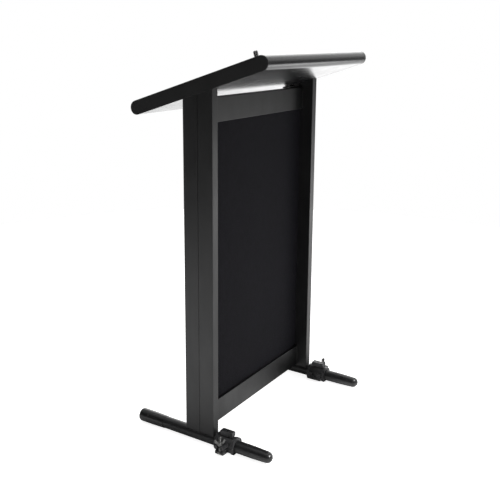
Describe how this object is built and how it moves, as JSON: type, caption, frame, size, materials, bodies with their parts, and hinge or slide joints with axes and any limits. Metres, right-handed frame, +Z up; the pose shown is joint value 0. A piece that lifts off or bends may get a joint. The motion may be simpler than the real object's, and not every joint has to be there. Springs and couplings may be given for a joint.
{
  "type": "presentation lectern",
  "caption": "Free-standing lectern with a tilted reading desk on twin-post sides, a cloth-faced panel, tube feet and pipe clamps with swing bolts.",
  "frame": {"origin": "on the floor, under the middle of the lectern's outline", "axes": "+X along the desk's width, -Y towards the audience, +Z up"},
  "size_m": [0.6914, 0.4841, 1.1631],
  "materials": {
    "frame_coat": "satin black powder coat",
    "panel_cloth": "black woven speaker cloth",
    "panel_board": "black-stained fibreboard",
    "bead_trim": "matte black",
    "desk_core": "fibreboard",
    "desk_gloss": "gloss black laminate",
    "desk_end": "matte black",
    "cap_plastic": "semi-gloss black moulding",
    "clamp_metal": "black-coated casting, lightly worn",
    "steel": "blackened zinc",
    "stud_metal": "turned steel"
  },
  "bodies": {
    "stand": {"bead_screws": "steel", "boot_screws": "steel", "bottom_rail": "frame_coat", "bracket_screws": "steel", "cap_screws": "steel", "desk_bracket_left": "frame_coat", "desk_bracket_right": "frame_coat", "desk_core": "desk_core", "desk_end_left": "desk_end", "desk_end_right": "desk_end", "desk_skin": "desk_gloss", "foot_tube_left": "frame_coat", "foot_tube_right": "frame_coat", "front_boot_left": "cap_plastic", "front_boot_right": "cap_plastic", "mic_flange": "stud_metal", "mic_stud": "stud_metal", "panel_bead_bottom": "bead_trim", "panel_bead_left": "bead_trim", "panel_bead_right": "bead_trim", "panel_bead_top": "bead_trim", "panel_board": "panel_board", "panel_cloth": "panel_cloth", "post_front_left": "frame_coat", "post_front_right": "frame_coat", "post_rear_left": "frame_coat", "post_rear_right": "frame_coat", "rear_cap_left": "cap_plastic", "rear_cap_right": "cap_plastic", "top_rail": "frame_coat"},
    "clamp_left": {"clamp_body_left": "clamp_metal", "clamp_jaw_left": "clamp_metal", "clamp_pad_left": "clamp_metal", "pad_screws_left": "steel", "hinge_pin_left": "steel", "bolt_pin_left": "steel"},
    "bolt_left": {"swing_bolt_left": "steel"},
    "nut_left": {"wing_nut_left": "steel"},
    "clamp_right": {"clamp_body_right": "clamp_metal", "clamp_jaw_right": "clamp_metal", "clamp_pad_right": "clamp_metal", "pad_screws_right": "steel", "hinge_pin_right": "steel", "bolt_pin_right": "steel"},
    "bolt_right": {"swing_bolt_right": "steel"},
    "nut_right": {"wing_nut_right": "steel"}
  },
  "joints": [
    {"name": "clamp_left_slide", "type": "slide", "parent": "stand", "child": "clamp_left", "axis": [0, -1, 0], "range_m": [-0.008, 0.032]},
    {"name": "bolt_left_swing", "type": "hinge", "parent": "clamp_left", "child": "bolt_left", "pos_m": [-0.3335, -0.089, 0.0113], "axis": [0, -1, 0], "range_deg": [0, 75]},
    {"name": "nut_left_spin", "type": "hinge", "parent": "bolt_left", "child": "nut_left", "pos_m": [-0.3335, -0.089, 0.0346], "axis": [0, 0, 1], "continuous": true},
    {"name": "clamp_right_slide", "type": "slide", "parent": "stand", "child": "clamp_right", "axis": [0, -1, 0], "range_m": [-0.008, 0.032]},
    {"name": "bolt_right_swing", "type": "hinge", "parent": "clamp_right", "child": "bolt_right", "pos_m": [0.3335, -0.089, 0.0113], "axis": [0, 1, 0], "range_deg": [0, 75]},
    {"name": "nut_right_spin", "type": "hinge", "parent": "bolt_right", "child": "nut_right", "pos_m": [0.3335, -0.089, 0.0346], "axis": [0, 0, 1], "continuous": true}
  ]
}
